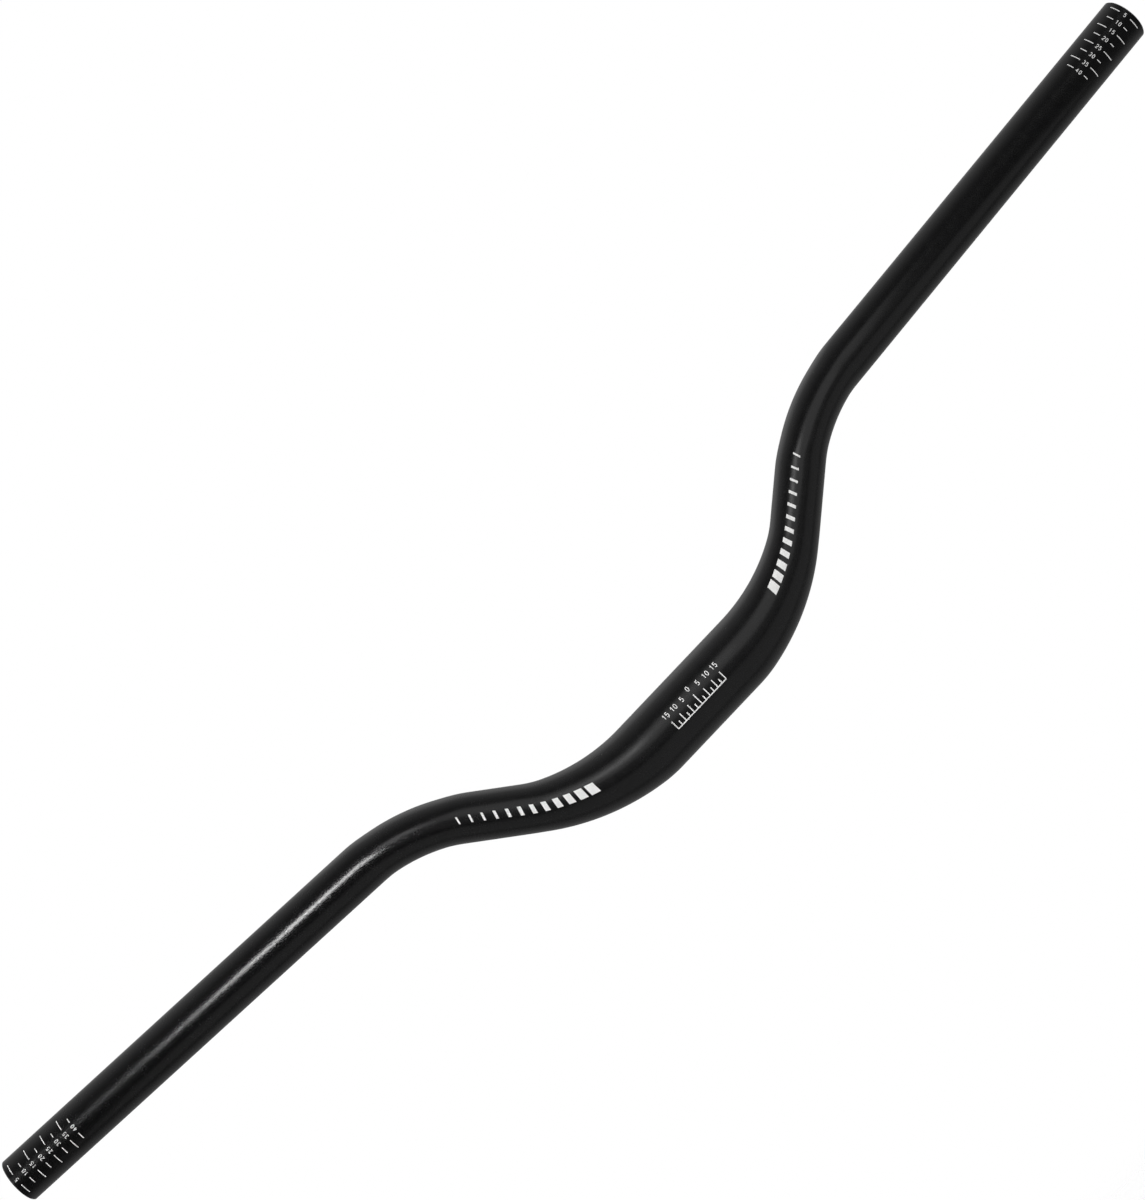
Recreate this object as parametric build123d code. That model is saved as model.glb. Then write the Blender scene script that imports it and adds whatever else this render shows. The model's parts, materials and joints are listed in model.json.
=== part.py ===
from build123d import *
import os
from math import radians, tan

# Riser handlebar: one aluminium tube, tapered from the clamp down to the grips and bent twice on each side.
# X runs along the bar, +Z is up, and the rider sits on the +Y side.
# The origin is on the clamp axis, at the middle of the bar.

# Tube
clamp_diameter = 31.8
grip_diameter = 22.2
clamp_wall = 2.4  # the wall is butted: thicker where the stem holds it
grip_wall = 2.1
end_chamfer = 0.4  # on the outer and the inner edge of each cut end

# Runs and bends of one side, in order from the middle of the bar to its end
clamp_length = 49.0  # straight length between the two lower bends
lower_radius = 100.0
rise_angle = 38.2  # slope of the rising run, degrees seen from the front
rise_length = 24.0  # straight length between the lower and the upper bend
upper_radius = 90.0
back_sweep = 10.0  # of the grips toward the rider, degrees seen from above
up_sweep = 5.0  # of the grips, degrees seen from the front
width = 720.0  # between the centres of the two end faces

# Form of the bends
taper_ease = 0.15  # share of the taper that eases into the straight tube, at each of its ends
flattening = 0.45  # the upper bend narrows the tube's radius by this in its plane, and widens it across
flattening_ease = 0.25  # share of the upper bend over which the flattening comes in, at each of its ends
bend_steps = 12  # sections that shape a bend

# Centreline of one side
clamp_direction = Vector(1, 0, 0)
rise_direction = Vector(1, 0, tan(radians(rise_angle))).normalized()
grip_direction = Vector(1, tan(radians(back_sweep)), tan(radians(up_sweep))).normalized()
lower_setback = lower_radius * tan(radians(clamp_direction.get_angle(rise_direction) / 2))
upper_setback = upper_radius * tan(radians(rise_direction.get_angle(grip_direction) / 2))
middle = Vector(0, 0, 0)
lower_corner = middle + clamp_direction * (clamp_length / 2 + lower_setback)
upper_corner = lower_corner + rise_direction * (lower_setback + rise_length + upper_setback)
end_centre = upper_corner + grip_direction * ((width / 2 - upper_corner.X) / grip_direction.X)
corners = [middle, lower_corner, upper_corner, end_centre]
centreline = FilletPolyline(*corners, radius=[lower_radius, upper_radius])
clamp_run, lower_bend, rise_run, upper_bend, grip_run = centreline.edges().sort_by(centreline)
shares = [step / bend_steps for step in range(bend_steps + 1)]


# Part of the taper that is done at a share of its length: a straight slope with a parabola at each end
def taper_at(share):
    slope = 1 / (1 - taper_ease)
    if share < taper_ease:
        return slope * share**2 / (2 * taper_ease)
    if share > 1 - taper_ease:
        return 1 - slope * (1 - share) ** 2 / (2 * taper_ease)
    return slope * (share - taper_ease / 2)


# Flattening at a share of the upper bend: none at its ends, with a smooth ramp up to the full amount between
def flattening_at(share):
    ramp = min(share / flattening_ease, (1 - share) / flattening_ease, 1)
    return flattening * ramp**2 * (3 - 2 * ramp)


# Rings set square to a bend at its shares, with their X across the plane of the bend, swept into one solid
def swept(bend, rings):
    planes = [Plane(origin=bend @ share, x_dir=bend.normal(), z_dir=bend % share) for share in shares]
    return sweep([plane * ring for plane, ring in zip(planes, rings)], path=bend, multisection=True)


# Lower bend: round, and tapered from the clamp's radius to the grip's
def tapered_bend(clamp_radius, grip_radius):
    drop = clamp_radius - grip_radius
    return swept(lower_bend, [Circle(clamp_radius - drop * taper_at(s)) for s in shares])


# Upper bend: round at both ends and flattened between them
def flattened_bend(radius):
    ovals = [Ellipse(radius + flattening_at(s), radius - flattening_at(s)) for s in shares[1:-1]]
    return swept(upper_bend, [Circle(radius), *ovals, Circle(radius)])


# Straight round run
def straight(run, radius):
    return extrude(Plane(origin=run @ 0, z_dir=run % 0) * Circle(radius), run.length)


# Solid rod that fills one skin of the tube, from end to end of the bar
def rod(clamp_radius, grip_radius):
    clamp = extrude(Plane.YZ * Circle(clamp_radius), clamp_run.length, both=True)
    side = (
        tapered_bend(clamp_radius, grip_radius)
        + straight(rise_run, grip_radius)
        + flattened_bend(grip_radius)
        + straight(grip_run, grip_radius)
    )
    return clamp + side + mirror(side, about=Plane.YZ)


# The tube is the rod of its outer skin less the rod of its inner skin; its only flat faces are the cut ends
outer = rod(clamp_diameter / 2, grip_diameter / 2)
inner = rod(clamp_diameter / 2 - clamp_wall, grip_diameter / 2 - grip_wall)
bar = outer - inner
bar = chamfer(bar.faces().filter_by(GeomType.PLANE).edges(), end_chamfer)

os.makedirs("parts", exist_ok=True)
export_step(bar, "parts/bar.step")
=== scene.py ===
import json
from math import cos, pi, radians, sin

import bpy
import numpy as np
from mathutils import Matrix


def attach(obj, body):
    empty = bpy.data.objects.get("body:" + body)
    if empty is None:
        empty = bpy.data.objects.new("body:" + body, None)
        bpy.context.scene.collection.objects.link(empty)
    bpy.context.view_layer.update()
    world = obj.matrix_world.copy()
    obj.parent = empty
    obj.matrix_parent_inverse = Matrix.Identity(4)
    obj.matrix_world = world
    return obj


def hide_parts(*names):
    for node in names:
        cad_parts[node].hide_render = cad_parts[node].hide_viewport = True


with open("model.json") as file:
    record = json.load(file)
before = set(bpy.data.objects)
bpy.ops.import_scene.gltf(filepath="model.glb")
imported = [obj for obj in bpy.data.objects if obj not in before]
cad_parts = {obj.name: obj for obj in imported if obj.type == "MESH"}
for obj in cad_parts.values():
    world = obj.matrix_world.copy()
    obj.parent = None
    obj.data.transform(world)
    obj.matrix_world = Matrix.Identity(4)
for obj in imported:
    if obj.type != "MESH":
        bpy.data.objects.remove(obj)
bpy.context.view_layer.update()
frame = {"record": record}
mm = 0.001
print("frame loaded")

# The tube, as the CAD bends it: sizes in metres, angles in radians
mounts = {mount["name"]: mount for mount in frame["record"]["mounts"]}
tube = {
    "clampRadius": mounts["stem_clamp"]["dims"]["r_mm"] * mm,
    "gripRadius": mounts["left_grip"]["dims"]["r_mm"] * mm,
    "boreRadius": mounts["left_end_bore"]["dims"]["r_mm"] * mm,
    "clampWall": 2.4 * mm,
    "clampLength": mounts["stem_clamp"]["dims"]["length_mm"] * mm,
    "lowerRadius": 100 * mm,
    "riseAngle": radians(38.2),
    "riseLength": 24 * mm,
    "upperRadius": 90 * mm,
    "gripHeading": mounts["left_grip"]["axis"],
    "halfWidth": 360 * mm,  # to the centre of an end face
    "taperEase": 0.15,
    "flattening": 0.45 * mm,
    "flatteningEase": 0.25,
    "endChamfer": 0.4 * mm,
    "ringStep": 2 * mm,  # between rings on the outside
    "boreStep": 4 * mm,
    "around": 112,  # points of a ring
}


# Vectors divided by their own lengths
def unit(vectors):
    return vectors / np.linalg.norm(vectors, axis=-1, keepdims=True)


# Runs of the centreline of one side, from the middle out, as (length, heading, turn, radius).
# An arc between two headings is radius * angle long. Its turn is the part of the next heading that is
# square to its own, and the last run is as long as it takes to reach the half width.
def layRuns():
    clampHeading = np.array((1.0, 0.0, 0.0))
    riseHeading = np.array((cos(tube["riseAngle"]), 0.0, sin(tube["riseAngle"])))
    gripHeading = unit(np.array(tube["gripHeading"]))

    def straight(length, heading):
        return length, heading, np.zeros(3), None

    def arc(radius, heading, following):
        turn = unit(following - following @ heading * heading)
        return radius * np.arccos(following @ heading), heading, turn, radius

    laid = [
        straight(tube["clampLength"] / 2, clampHeading),
        arc(tube["lowerRadius"], clampHeading, riseHeading),
        straight(tube["riseLength"], riseHeading),
        arc(tube["upperRadius"], riseHeading, gripHeading),
    ]
    reached = sum(runStep(run, run[0])[0] for run in laid)
    laid.append(straight((tube["halfWidth"] - reached[0]) / gripHeading[0], gripHeading))
    return laid


# Travel and heading at a distance u into a run. Straight: u * heading. Arc of radius r, with a = u / r:
# r * (sin a * heading + (1 - cos a) * turn), heading cos a * heading + sin a * turn.
def runStep(run, u):
    heading, turn, radius = run[1:]
    u = np.asarray(u)[..., None]
    if radius is None:
        return u * heading, heading + 0 * u
    a = u / radius
    return radius * (np.sin(a) * heading + (1 - np.cos(a)) * turn), np.cos(a) * heading + np.sin(a) * turn


runs = layRuns()
runStarts = np.cumsum([0.0] + [run[0] for run in runs])
barReach = runStarts[-1]  # from the middle to an end, along the centreline
bendAcross = unit(np.cross(runs[2][1], runs[4][1]))  # square to the plane of the upper bend


# Centre and heading at a distance s from the middle: the runs' travels add up, each cut off at its length
def centreline(s):
    centre = np.zeros(s.shape + (3,))
    heading = np.zeros(s.shape + (3,))
    for run, start in zip(runs, runStarts):
        travel, along = runStep(run, np.clip(s - start, 0, run[0]))
        centre = centre + travel
        heading = np.where((s >= start)[..., None], along, heading)
    return centre, heading


# Share of the taper done along the lower bend: a straight slope with a parabola at each end
def taperAt(s):
    ease = tube["taperEase"]
    share = np.clip((s - runStarts[1]) / runs[1][0], 0, 1)
    slope = 1 / (1 - ease)
    early = slope * share**2 / (2 * ease)
    late = 1 - slope * (1 - share) ** 2 / (2 * ease)
    return np.where(share < ease, early, np.where(share > 1 - ease, late, slope * (share - ease / 2)))


# Outer radius: the clamp's, less the part of the drop to the grip's that the taper has done
def radiusAt(s):
    return tube["clampRadius"] + (tube["gripRadius"] - tube["clampRadius"]) * taperAt(np.abs(s))


# Wall: butted along the same taper
def wallAt(s):
    gripWall = tube["gripRadius"] - tube["boreRadius"]
    return tube["clampWall"] + (gripWall - tube["clampWall"]) * taperAt(np.abs(s))


# How far the upper bend is flattened: flattening * ramp^2 * (3 - 2 * ramp), with the ramp up from each end
def flatteningAt(s):
    share = np.clip((s - runStarts[3]) / runs[3][0], 0, 1)
    ramp = np.clip(np.minimum(share, 1 - share) / tube["flatteningEase"], 0, 1)
    return tube["flattening"] * ramp**2 * (3 - 2 * ramp)


# Point of the tube at s along the bar (minus on the -X side), at an angle round it from the front towards
# the top, and at a depth under the outer skin: centre + (radius - depth) * outward, stretched across the
# upper bend and squeezed in its plane by the flattening. The -X side is the mirror image of the +X side.
def skin(s, angle, depth):
    s, angle, depth = np.broadcast_arrays(s, angle, depth)
    far = np.abs(s)
    centre, heading = centreline(far)
    front = np.array((0.0, -1.0, 0.0))
    front = unit(front - (heading @ front)[..., None] * heading)
    top = np.cross(front, heading)
    outward = np.cos(angle)[..., None] * front + np.sin(angle)[..., None] * top
    inPlane = np.cross(bendAcross, heading)
    across = (outward @ bendAcross)[..., None] * bendAcross
    within = np.sum(outward * inPlane, axis=-1, keepdims=True) * inPlane
    points = centre + (radiusAt(far) - depth)[..., None] * outward
    points = points + flatteningAt(far)[..., None] * (across - within)
    return points * np.stack((np.where(s < 0, -1.0, 1.0), np.ones_like(far), np.ones_like(far)), axis=-1)


# Quads of a grid of points, rows by columns; a closed way joins its last line to its first
def gridQuads(rows, columns, closedRows=False, closedColumns=False):
    row = np.arange(rows if closedRows else rows - 1)[:, None]
    column = np.arange(columns if closedColumns else columns - 1)[None, :]
    nextRow, nextColumn = (row + 1) % rows, (column + 1) % columns
    corners = [row * columns + column, nextRow * columns + column]
    corners += [nextRow * columns + nextColumn, row * columns + nextColumn]
    spread = [np.broadcast_to(corner, (row.size, column.size)) for corner in corners]
    return np.stack(spread, axis=-1).reshape(-1, 4)


# Smooth mesh object at the origin, with edges kept sharp where its faces meet at more than an angle
def addMesh(name, points, quads, material, sharpAngle=radians(30)):
    mesh = bpy.data.meshes.new(name)
    mesh.from_pydata(points.reshape(-1, 3), [], quads)
    mesh.polygons.foreach_set("use_smooth", np.ones(len(quads), bool))
    mesh.set_sharp_from_angle(angle=sharpAngle)
    mesh.materials.append(material)
    mesh.validate()
    thing = bpy.data.objects.new(name, mesh)
    bpy.context.scene.collection.objects.link(thing)
    return thing


# Shader node with its settings, and its inputs either set to a value or linked from a socket
def addNode(tree, kind, inputs=(), **settings):
    node = tree.nodes.new(kind)
    for key, value in settings.items():
        setattr(node, key, value)
    for socket, value in dict(inputs).items():
        if isinstance(value, bpy.types.NodeSocket):
            tree.links.new(value, node.inputs[socket])
        else:
            node.inputs[socket].default_value = value
    return node


# Blasted grain, shared by the metal and by the ink on it: noise at 1 / size for fine pits and for clouds of
# a few millimetres. Its height is the pits alone, and its tone is the mean of the two.
def makeBlastGrain():
    group = bpy.data.node_groups.new("blastGrain", "ShaderNodeTree")
    for label in ("Pit Size", "Cloud Size"):
        group.interface.new_socket(label, in_out="INPUT", socket_type="NodeSocketFloat")
    for label in ("Height", "Tone"):
        group.interface.new_socket(label, in_out="OUTPUT", socket_type="NodeSocketFloat")
    given = group.nodes.new("NodeGroupInput")
    result = group.nodes.new("NodeGroupOutput")
    place = addNode(group, "ShaderNodeTexCoord").outputs["Object"]

    def noise(socket, detail):
        scale = addNode(group, "ShaderNodeMath", {0: 1.0, 1: given.outputs[socket]}, operation="DIVIDE")
        inputs = {"Vector": place, "Scale": scale.outputs[0], "Detail": detail}
        return addNode(group, "ShaderNodeTexNoise", inputs).outputs["Fac"]

    pits = noise("Pit Size", detail=2.0)
    clouds = noise("Cloud Size", detail=3.0)
    both = addNode(group, "ShaderNodeMath", {0: pits, 1: clouds}, operation="ADD")
    tone = addNode(group, "ShaderNodeMath", {0: both.outputs[0], 1: 0.5}, operation="MULTIPLY")
    group.links.new(pits, result.inputs["Height"])
    group.links.new(tone.outputs[0], result.inputs["Tone"])
    return group


# A finish on the blasted grain: its tone runs between two colours and two roughnesses, its pits are bumps
def makeFinish(name, look):
    material = bpy.data.materials.new(name)
    material.use_nodes = True
    tree = material.node_tree
    shader = tree.nodes["Principled BSDF"]
    grain = addNode(tree, "ShaderNodeGroup", node_tree=blastGrain)
    grain.inputs["Pit Size"].default_value = look["pitSize"]
    grain.inputs["Cloud Size"].default_value = look["cloudSize"]
    ramp = addNode(tree, "ShaderNodeValToRGB", {"Fac": grain.outputs["Tone"]})
    colours = (look["dark"], look["light"])
    for stop, position, colour in zip(ramp.color_ramp.elements, look["toneRange"], colours):
        stop.position = position
        stop.color = (*colour, 1.0)
    span = {"Value": grain.outputs["Tone"]}
    span["From Min"], span["From Max"] = look["toneRange"]
    span["To Min"], span["To Max"] = look["roughness"]
    rough = addNode(tree, "ShaderNodeMapRange", span)
    bumps = {"Height": grain.outputs["Height"]}
    bumps.update({"Strength": look["bumpStrength"], "Distance": look["pitDepth"]})
    bump = addNode(tree, "ShaderNodeBump", bumps)
    tree.links.new(ramp.outputs["Color"], shader.inputs["Base Color"])
    tree.links.new(rough.outputs["Result"], shader.inputs["Roughness"])
    tree.links.new(bump.outputs["Normal"], shader.inputs["Normal"])
    shader.inputs["IOR"].default_value = look["ior"]
    return material


satinBlack = {
    "dark": (0.0031, 0.0031, 0.0033),
    "light": (0.0047, 0.0047, 0.005),
    "roughness": (0.22, 0.28),
    "toneRange": (0.35, 0.65),
    "pitSize": 0.7 * mm,
    "cloudSize": 4 * mm,
    "pitDepth": 0.02 * mm,
    "bumpStrength": 0.5,
    "ior": 1.5,
}
whiteInk = {
    "dark": (0.76, 0.76, 0.75),
    "light": (0.88, 0.88, 0.87),
    "roughness": (0.45, 0.6),
    "toneRange": (0.35, 0.6),
    "pitSize": 0.45 * mm,
    "cloudSize": 3 * mm,
    "pitDepth": 0.01 * mm,
    "bumpStrength": 0.3,
    "ior": 1.5,
}
blastGrain = makeBlastGrain()
blackFinish = makeFinish("satinBlackAnodised", satinBlack)
inkFinish = makeFinish("whiteInk", whiteInk)
print("materials made")


# The tube: a ring carried along the outside from end to end, over the end's chamfers and face, back along
# the bore, and over the other end into its own start
def makeTube():
    chamfer = tube["endChamfer"]
    outerCount = int(2 * barReach / tube["ringStep"])
    boreCount = int(2 * barReach / tube["boreStep"])
    outside = np.linspace(-barReach + chamfer, barReach - chamfer, outerCount)
    inside = np.linspace(barReach - chamfer, -barReach + chamfer, boreCount)
    endWall = wallAt(barReach)
    endDepths = np.array((chamfer, endWall - chamfer))
    along = np.concatenate((outside, (barReach, barReach), inside, (-barReach, -barReach)))
    depths = np.concatenate((0 * outside, endDepths, wallAt(inside), endDepths[::-1]))
    angles = np.linspace(0, 2 * pi, tube["around"], endpoint=False)
    points = skin(along[:, None], angles[None, :], depths[:, None])
    quads = gridQuads(len(along), len(angles), closedRows=True, closedColumns=True)
    return addMesh("handlebar_tube", points, quads, blackFinish)


handlebarTube = makeTube()
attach(handlebarTube, "root")
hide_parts("bar")
print("tube made:", len(handlebarTube.data.polygons), "faces")

# Ink marks: thin slabs on the skin. Their plan is flat: along the bar, and up round it from the front line
ink = {
    "proud": 0.03 * mm,
    "sunk": 0.03 * mm,
    "step": 0.5 * mm,  # between points along a stroke
    "mitreLimit": 0.5,  # keeps the mitre short at sharp corners
}


# Slab over a grid of the plan: its top stands proud of the skin, its foot is sunk under it, and walls join
# the two, at an angle of up / radius round the tube. A closed slab runs round into its own start, so it has
# a wall along each side and none at its ends.
def inkSlab(along, up, closed=False):
    rows, columns = along.shape
    angle = up / radiusAt(along)
    points = [skin(along, angle, depth).reshape(-1, 3) for depth in (-ink["proud"], ink["sunk"])]
    number = np.arange(rows * columns).reshape(rows, columns)
    if closed:
        rims = [number[:, 0], number[::-1, -1]]
    else:
        rims = [np.concatenate((number[:-1, 0], number[-1, :-1], number[:0:-1, -1], number[0, :0:-1]))]
    foot = rows * columns
    ahead = [np.roll(rim, -1) for rim in rims]
    walls = [np.stack((a, a + foot, b + foot, b), axis=-1) for a, b in zip(rims, ahead)]
    top = gridQuads(rows, columns, closedRows=closed)
    return np.concatenate(points), np.concatenate((top, top[:, ::-1] + foot, *walls))


# Points along a chain of corners, no further apart than the step, with the corners kept
def fillChain(corners):
    lengths = np.linalg.norm(np.diff(corners, axis=0), axis=1)
    reached = np.concatenate(([0.0], np.cumsum(lengths)))
    counts = np.maximum(np.ceil(lengths / ink["step"]), 1).astype(int)
    between = [np.linspace(*part, endpoint=False) for part in zip(reached[:-1], reached[1:], counts)]
    at = np.concatenate(between + [reached[-1:]])
    return np.stack([np.interp(at, reached, corners[:, axis]) for axis in (0, 1)], axis=-1)


# Pen stroke along a chain in the plan: chain + offset * mitre, where the mitre halves the angle at a corner
def penStroke(corners, width, lanes=3):
    chain = fillChain(np.asarray(corners, float))
    forward = unit(np.diff(chain, axis=0))
    left = np.stack((-forward[:, 1], forward[:, 0]), axis=-1)
    closed = np.allclose(chain[0], chain[-1])
    if closed:
        chain, before, after = chain[:-1], np.roll(left, 1, axis=0), left
    else:
        before, after = np.concatenate((left[:1], left)), np.concatenate((left, left[-1:]))
    likeness = np.sum(before * after, axis=-1, keepdims=True)
    mitre = (before + after) / np.maximum(1 + likeness, ink["mitreLimit"])
    offset = np.linspace(-width / 2, width / 2, lanes)
    plan = chain[:, None, :] + offset[None, :, None] * mitre[:, None, :]
    return inkSlab(plan[..., 0], plan[..., 1], closed)


# One mesh from many slabs
def addInk(name, slabs):
    starts = np.cumsum([0] + [len(points) for points, quads in slabs])
    points = np.concatenate([points for points, quads in slabs])
    quads = np.concatenate([quads + start for (points, quads), start in zip(slabs, starts)])
    piece = addMesh(name, points, quads, inkFinish)
    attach(piece, "root")
    return piece


# Arc of a numeral, from start to stop in degrees:
# (centreX + radiusX * cos turn, centreY + radiusY * sin turn)
def bow(centreX, centreY, radiusX, radiusY, start, stop, count=13):
    turn = np.radians(np.linspace(start, stop, count))
    return np.stack((centreX + radiusX * np.cos(turn), centreY + radiusY * np.sin(turn)), axis=-1)


# Numerals: chains and arcs in a box one wide and one high, centred on its middle
numerals = {
    "0": [bow(0, 0, 0.5, 0.5, 90, 450, 25)],
    "1": [np.array(((-0.3, 0.27), (0.1, 0.5), (0.1, -0.5)))],
    "2": [np.concatenate((bow(0, 0.2, 0.5, 0.3, 165, -30), ((-0.5, -0.5), (0.5, -0.5))))],
    "3": [bow(0, 0.25, 0.45, 0.25, 150, -90), bow(0, -0.25, 0.5, 0.25, 90, -150)],
    "4": [np.array(((0.15, 0.5), (-0.5, -0.2), (0.5, -0.2))), np.array(((0.25, 0.15), (0.25, -0.5)))],
    "5": [np.concatenate((((0.42, 0.5), (-0.38, 0.5), (-0.42, 0.05)), bow(0, -0.17, 0.5, 0.33, 125, -145)))],
}


# Strokes of a number about its own middle, x across and y up: each digit's box, scaled and set side by side
def writeNumber(label, look):
    size = np.array((look["numeralWidth"], look["numeralHeight"]))
    shifts = (np.arange(len(label)) - (len(label) - 1) / 2) * look["numeralPitch"]
    strokes = []
    for digit, shift in zip(label, shifts):
        strokes += [chain * size + (shift, 0.0) for chain in numerals[digit]]
    return strokes


# Cut scales: a mark every 5 mm from each end, with its number on the front line and a tick on each side
cutScale = {
    "firstMark": 3 * mm,  # from the end
    "pitch": 5 * mm,
    "labels": ("5", "10", "15", "20", "25", "30", "35", "40"),
    "clear": 3.0 * mm,  # from the front line to where a tick starts
    "rightTicks": (5.7 * mm, 2.3 * mm),  # long and short, on the side to which the numbers read
    "leftTicks": (5.3 * mm, 3.5 * mm),
    "tickWidth": 0.4 * mm,
    "numeralHeight": 1.85 * mm,
    "numeralWidth": 0.9 * mm,
    "numeralPitch": 1.65 * mm,
    "strokeWidth": 0.3 * mm,
}


# Mark i is firstMark + i * pitch in from the end. The numbers stand with their tops to the bar's end, so
# they read down on the +X end and up on the -X end.
def makeCutScale(name, side):
    slabs = []
    for index, label in enumerate(cutScale["labels"]):
        at = side * (barReach - cutScale["firstMark"] - index * cutScale["pitch"])
        for ticks, way in (("rightTicks", -side), ("leftTicks", side)):
            tick = cutScale[ticks][index % 2]
            ends = ((at, way * cutScale["clear"]), (at, way * (cutScale["clear"] + tick)))
            slabs.append(penStroke(ends, cutScale["tickWidth"]))
        for chain in writeNumber(label, cutScale):
            across, high = chain.T
            corners = np.stack((at + side * high, -side * across), axis=-1)
            slabs.append(penStroke(corners, cutScale["strokeWidth"]))
    return addInk(name, slabs)


makeCutScale("cut_scale_left", 1)
makeCutScale("cut_scale_right", -1)

# Centring rule in the middle of the clamp zone: millimetres out from the middle, upright from the front
centringRule = {
    "pitch": 2.5 * mm,
    "labels": ("0", "5", "10", "15"),  # at every second tick out from the middle, each side
    "foot": -4.4 * mm,  # base line, up from the front line
    "shortTick": 2.4 * mm,
    "longTick": 4.4 * mm,  # under a number
    "middleTick": 5.8 * mm,
    "tickWidth": 0.5 * mm,
    "numberLine": 3.6 * mm,  # middle of the numbers, up from the front line
    "middleLine": 5.0 * mm,  # middle of the number at the middle tick
    "numeralHeight": 2.3 * mm,
    "numeralWidth": 1.15 * mm,
    "numeralPitch": 1.85 * mm,
    "strokeWidth": 0.36 * mm,
}


# Tick i is at i * pitch along the bar. Every second one is longer and has its number above it, and a base
# line joins their feet.
def makeCentringRule():
    rule = centringRule
    last = 2 * (len(rule["labels"]) - 1)
    slabs = []
    for index in range(-last, last + 1):
        at = index * rule["pitch"]
        numbered = index % 2 == 0
        if index == 0:
            tick, line = rule["middleTick"], rule["middleLine"]
        else:
            tick, line = rule["longTick"] if numbered else rule["shortTick"], rule["numberLine"]
        slabs.append(penStroke(((at, rule["foot"]), (at, rule["foot"] + tick)), rule["tickWidth"]))
        if numbered:
            for chain in writeNumber(rule["labels"][abs(index) // 2], rule):
                slabs.append(penStroke(chain + (at, line), rule["strokeWidth"]))
    base = [(way * last * rule["pitch"], rule["foot"]) for way in (-1, 1)]
    slabs.append(penStroke(base, rule["tickWidth"]))
    return addInk("centring_rule", slabs)


makeCentringRule()

# Plain slanted bars along the rises, evenly spaced, each narrower and lower than the one before it
fadeBars = {
    "start": 58 * mm,  # of the first, from the middle of the bar
    "count": 12,
    "pitch": 5.6 * mm,
    "width": 4.2 * mm,
    "widthRatio": 0.86,  # of a bar to the one before it
    "height": 5.0 * mm,
    "heightRatio": 0.965,
    "slant": 0.35,  # how far the bars lean outward for each step up
    "lineLeft": 2.3 * mm,  # middle of the bars, up from the front line
    "lineRight": -1.2 * mm,
    "lanes": 7,  # points across a bar
}


# A bar: a band in the plan whose ends lean, along = start + share * width + slant * offset
def makeFadeBars(name, side, line):
    slabs = []
    for index in range(fadeBars["count"]):
        start = fadeBars["start"] + index * fadeBars["pitch"]
        width = fadeBars["width"] * fadeBars["widthRatio"] ** index
        height = fadeBars["height"] * fadeBars["heightRatio"] ** index
        offset = np.linspace(-height / 2, height / 2, fadeBars["lanes"])[None, :]
        straight = np.linspace(start, start + width, max(int(width / ink["step"]), 3))[:, None]
        along = straight + fadeBars["slant"] * offset
        up = line + offset + 0 * straight
        if side < 0:
            along, up = -along[::-1], up[::-1]
        slabs.append(inkSlab(along, up))
    return addInk(name, slabs)


makeFadeBars("fade_bars_left", 1, fadeBars["lineLeft"])
makeFadeBars("fade_bars_right", -1, fadeBars["lineRight"])
print("ink marks made")

# Floor: a pale sheet well below the bar, which fades out away from it and isn't seen from underneath
floor = {
    "height": -350 * mm,
    "reach": 1200 * mm,
    "fadeFrom": 500 * mm,
    "colour": (0.86, 0.86, 0.86),
    "mottle": 0.98,  # darkest part of the mottle, of the colour
    "mottleSize": 160 * mm,
    "roughness": 0.9,
    "glow": 0.24,  # lifts what the lamps leave pale to the background's white
}


# Matt finish with a slow mottle. Its alpha is 1 out to fadeFrom, falls smoothly to 0 at the reach, and is 0
# seen from underneath; the glow is only for the camera.
def makeFloorFinish():
    material = bpy.data.materials.new("paleFloor")
    material.use_nodes = True
    tree = material.node_tree
    shader = tree.nodes["Principled BSDF"]
    shader.inputs["Roughness"].default_value = floor["roughness"]
    shader.inputs["Emission Color"].default_value = (1.0, 1.0, 1.0, 1.0)
    place = addNode(tree, "ShaderNodeTexCoord").outputs["Object"]
    patches = {"Vector": place, "Scale": 1 / floor["mottleSize"], "Detail": 2.0}
    mottle = addNode(tree, "ShaderNodeTexNoise", patches)
    ramp = addNode(tree, "ShaderNodeValToRGB", {"Fac": mottle.outputs["Fac"]})
    for stop, shade in zip(ramp.color_ramp.elements, (floor["mottle"], 1.0)):
        stop.color = (*[shade * part for part in floor["colour"]], 1.0)
    tree.links.new(ramp.outputs["Color"], shader.inputs["Base Color"])
    flat = addNode(tree, "ShaderNodeVectorMath", {0: place, 1: (1.0, 1.0, 0.0)}, operation="MULTIPLY")
    away = addNode(tree, "ShaderNodeVectorMath", {0: flat.outputs[0]}, operation="LENGTH")
    fade = {"Value": away.outputs["Value"], "From Min": floor["fadeFrom"], "From Max": floor["reach"]}
    fade.update({"To Min": 1.0, "To Max": 0.0})
    rim = addNode(tree, "ShaderNodeMapRange", fade, interpolation_type="SMOOTHSTEP")
    under = addNode(tree, "ShaderNodeNewGeometry").outputs["Backfacing"]
    above = addNode(tree, "ShaderNodeMath", {0: 1.0, 1: under}, operation="SUBTRACT")
    shares = {0: rim.outputs["Result"], 1: above.outputs[0]}
    shown = addNode(tree, "ShaderNodeMath", shares, operation="MULTIPLY")
    tree.links.new(shown.outputs[0], shader.inputs["Alpha"])
    direct = addNode(tree, "ShaderNodeLightPath").outputs["Is Camera Ray"]
    glow = addNode(tree, "ShaderNodeMath", {0: direct, 1: floor["glow"]}, operation="MULTIPLY")
    tree.links.new(glow.outputs[0], shader.inputs["Emission Strength"])
    return material


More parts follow.
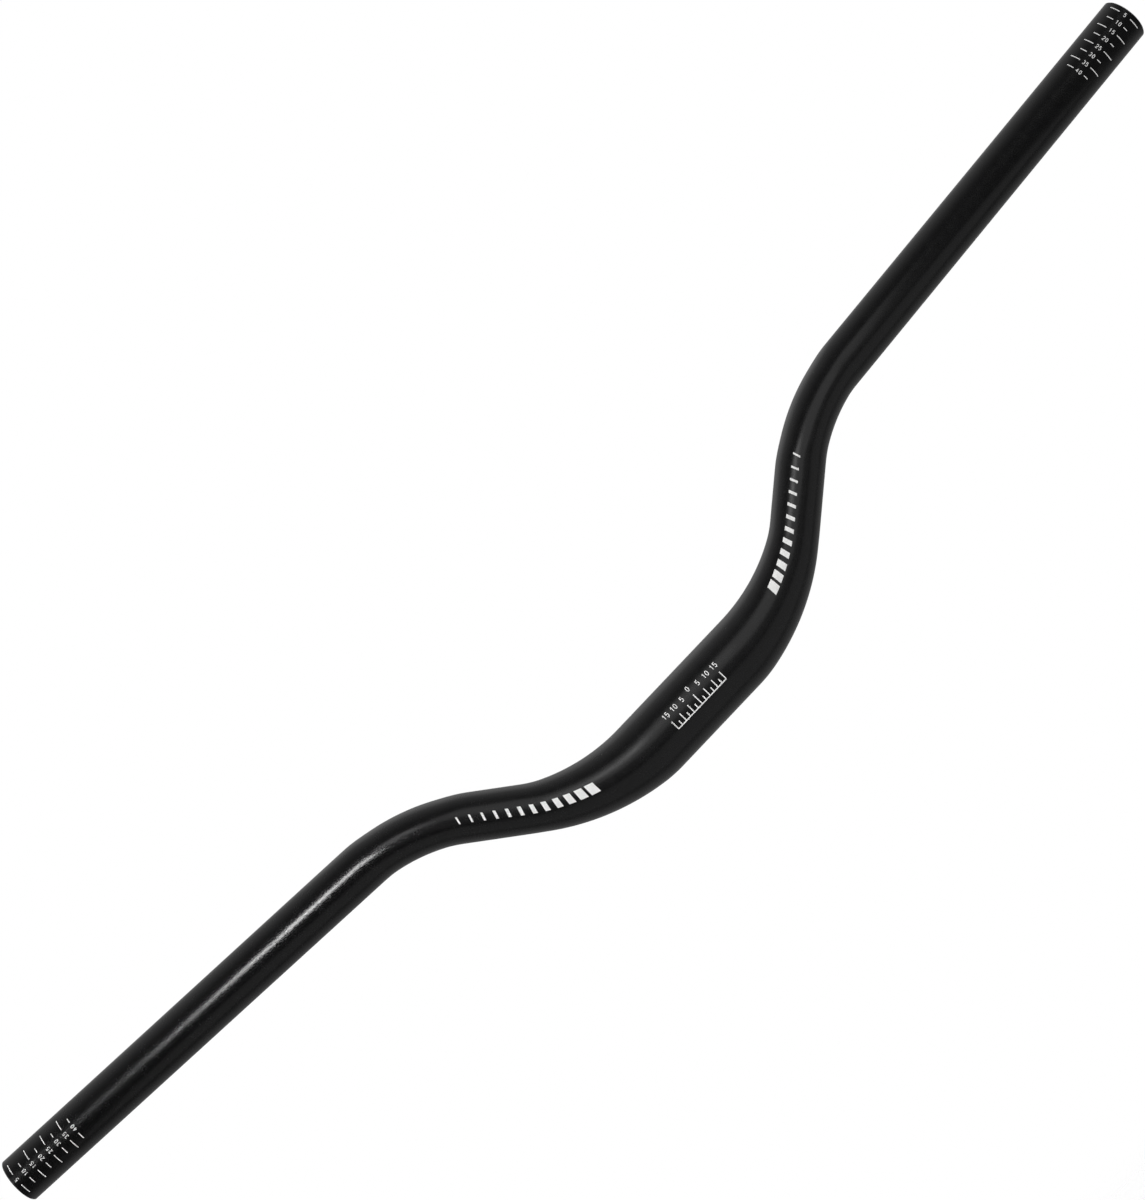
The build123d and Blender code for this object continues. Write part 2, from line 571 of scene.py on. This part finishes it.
# A square sheet: (x, y, height) with x and y each from -reach to reach
def makeFloor():
    ends = (-floor["reach"], floor["reach"])
    x, y = np.meshgrid(ends, ends, indexing="ij")
    corners = np.stack((x, y, 0 * x + floor["height"]), axis=-1)
    sheet = addMesh("floor", corners, gridQuads(2, 2), makeFloorFinish())
    sheet.visible_glossy = False  # the metal sees the surround instead


makeFloor()

# Studio: a white surround behind the bar, which the metal sees fall off to a dim room behind the camera
surround = {
    "white": 1.0,  # of the background
    "matt": 0.36,  # light on matt surfaces
    "front": (0.01, 0.055),  # seen in the metal from behind the camera, from -X to +X
    "frontSpan": (-0.5, 0.5),
    "upperBack": 0.44,  # seen above the horizon, in front of the camera
    "upperSpan": (-0.82, 0.25),  # of Y, from the front's level to the back's
    "lowerBack": 0.3,
    "lowerSpan": (-0.3, 0.5),
    "horizon": 0.15,  # half height of the blend between upper and lower
}


# For the metal, the level is a ramp along X in front, and from there a ramp along Y to the back's level, one
# above the horizon and one below it. Matt surfaces get one level from all sides, the camera sees white.
def makeSurround():
    world = bpy.data.worlds.new("studio")
    bpy.context.scene.world = world
    world.use_nodes = True
    tree = world.node_tree
    tree.nodes.clear()
    direction = addNode(tree, "ShaderNodeTexCoord").outputs["Generated"]
    way = addNode(tree, "ShaderNodeSeparateXYZ", {0: direction})

    def graded(axis, span, values):
        ends = {"Value": way.outputs[axis], "From Min": span[0], "From Max": span[1]}
        ends.update({"To Min": values[0], "To Max": values[1]})
        return addNode(tree, "ShaderNodeMapRange", ends, interpolation_type="SMOOTHSTEP").outputs["Result"]

    front = graded("X", surround["frontSpan"], surround["front"])
    upper = graded("Y", surround["upperSpan"], (front, surround["upperBack"]))
    lower = graded("Y", surround["lowerSpan"], (front, surround["lowerBack"]))
    above = graded("Z", (-surround["horizon"], surround["horizon"]), (0.0, 1.0))
    seen = addNode(tree, "ShaderNodeMix", {"Factor": above, "A": lower, "B": upper}, data_type="FLOAT")
    inMetal = addNode(tree, "ShaderNodeBackground", {"Strength": seen.outputs["Result"]})
    path = addNode(tree, "ShaderNodeLightPath").outputs
    levels = {"Factor": path["Is Camera Ray"], "A": surround["matt"], "B": surround["white"]}
    level = addNode(tree, "ShaderNodeMix", levels, data_type="FLOAT")
    plain = addNode(tree, "ShaderNodeBackground", {"Strength": level.outputs["Result"]})
    for shade in (inMetal, plain):
        shade.inputs["Color"].default_value = (1.0, 1.0, 1.0, 1.0)
    choice = {0: path["Is Glossy Ray"], 1: plain.outputs[0], 2: inMetal.outputs[0]}
    both = addNode(tree, "ShaderNodeMixShader", choice)
    addNode(tree, "ShaderNodeOutputWorld", {"Surface": both.outputs[0]})


makeSurround()

# Lamps: cards and boxes that show as long highlights from the front, corner boxes and a back strip that do
# so from the other sides, low side boxes for the rims of the ends, and one overhead for the floor's shadow.
# Each aims at a point on or near the bar. Size is across and up, and spread narrows the beam.
lamps = {
    "gripStrip": {
        "place": (-0.445, -0.66, 0.235), "aim": (-0.215, 0.01, 0.06), "size": (0.04, 0.16), "power": 0.135,
        "spread": radians(50),
    },
    "frontCard": {
        "place": (0.096, -0.21, 0.092), "aim": (0.096, 0.0, 0.04), "size": (0.39, 0.16), "power": 0.135,
    },
    "dimCard": {
        "place": (0.09, -0.25, -0.03), "aim": (0.09, 0.0, -0.03), "size": (0.58, 0.12), "power": 0.026,
    },
    "backCard": {
        "place": (0.0, 0.2, 0.35), "aim": (0.0, 0.0, 0.02), "size": (0.38, 0.23), "power": 0.077,
    },
    "lowCard": {
        "place": (0.005, -0.145, -0.15), "aim": (0.005, -0.145, 0.0), "size": (0.89, 0.25), "power": 0.175,
    },
    "farBox": {
        "place": (-0.44, -2.57, 1.24), "aim": (0.0, 0.0, 0.0), "size": (0.7, 0.7), "power": 3.9,
    },
    "cornerFrontLeft": {
        "place": (1.75, -1.0, 0.6), "aim": (0.0, 0.0, 0.03), "size": (0.8, 0.8), "power": 3.2,
    },
    "cornerFrontRight": {
        "place": (-1.6, -1.25, 0.6), "aim": (0.0, 0.0, 0.03), "size": (0.8, 0.8), "power": 3.2,
    },
    "cornerBackLeft": {
        "place": (1.6, 1.25, 0.6), "aim": (0.0, 0.0, 0.03), "size": (0.8, 0.8), "power": 3.2,
    },
    "cornerBackRight": {
        "place": (-1.6, 1.25, 0.6), "aim": (0.0, 0.0, 0.03), "size": (0.8, 0.8), "power": 3.2,
    },
    "sideLeft": {
        "place": (1.95, -0.58, -0.08), "aim": (0.36, 0.04, 0.07), "size": (0.5, 0.5), "power": 1.5,
    },
    "sideRight": {
        "place": (-1.95, -0.58, -0.08), "aim": (-0.36, 0.04, 0.07), "size": (0.5, 0.5), "power": 1.5,
    },
    "backStrip": {
        "place": (0.0, 1.9, 0.2), "aim": (0.0, 0.0, 0.03), "size": (2.2, 0.26), "power": 6.0,
    },
    "overhead": {
        "place": (0.2, 0.1, 1.8), "aim": (0.0, 0.0, 0.0), "size": (0.2, 0.2), "power": 13.7,
        "inMetal": False,
    },
}


# Matrix that stands at a place and points -Z at an aim: its columns are right = up x back, back x right and
# back, away from the aim. Straight up or down, right is X.
def lookingAt(place, aim):
    back = unit(np.subtract(place, aim))
    across = np.cross((0.0, 0.0, 1.0), back)
    right = unit(across) if np.any(across) else np.array((1.0, 0.0, 0.0))
    matrix = np.eye(4)
    matrix[:3, :3] = np.stack((right, np.cross(back, right), back), axis=-1)
    matrix[:3, 3] = place
    return Matrix(matrix.tolist())


# Rectangular lamp, which the camera doesn't see
def addLamp(name, lamp):
    data = bpy.data.lights.new(name, "AREA")
    data.shape = "RECTANGLE"
    data.size, data.size_y = lamp["size"]
    data.energy = lamp["power"]
    data.spread = lamp.get("spread", pi)
    thing = bpy.data.objects.new(name, data)
    thing.matrix_world = lookingAt(lamp["place"], lamp["aim"])
    thing.visible_camera = False
    thing.visible_glossy = lamp.get("inMetal", True)
    bpy.context.scene.collection.objects.link(thing)


for name, lamp in lamps.items():
    addLamp(name, lamp)

# Camera: in front of the bar and a little under it, rolled so that the bar runs from corner to corner
viewpoint = {
    "place": (-0.1082, -1.9957, -0.1297),
    "azimuth": radians(2.956),  # from +Y towards +X
    "elevation": radians(5.694),
    "roll": radians(46.718),  # its top leans to its own right
    "lens": 137.11,
    "sensor": 36.0,  # along the image's longer side
}


# Forward is (cos e * sin a, cos e * cos a, sin e) for azimuth a and elevation e, and the roll turns about it
def makeCamera():
    azimuth, elevation, roll = viewpoint["azimuth"], viewpoint["elevation"], viewpoint["roll"]
    forward = (cos(elevation) * sin(azimuth), cos(elevation) * cos(azimuth), sin(elevation))
    aim = np.add(viewpoint["place"], forward)
    data = bpy.data.cameras.new("camera")
    data.lens = viewpoint["lens"]
    data.sensor_width = viewpoint["sensor"]
    thing = bpy.data.objects.new("camera", data)
    thing.matrix_world = lookingAt(viewpoint["place"], aim) @ Matrix.Rotation(-roll, 4, "Z")
    bpy.context.scene.collection.objects.link(thing)
    bpy.context.scene.camera = thing


makeCamera()
bpy.context.scene.view_settings.view_transform = "Standard"
print("studio set")
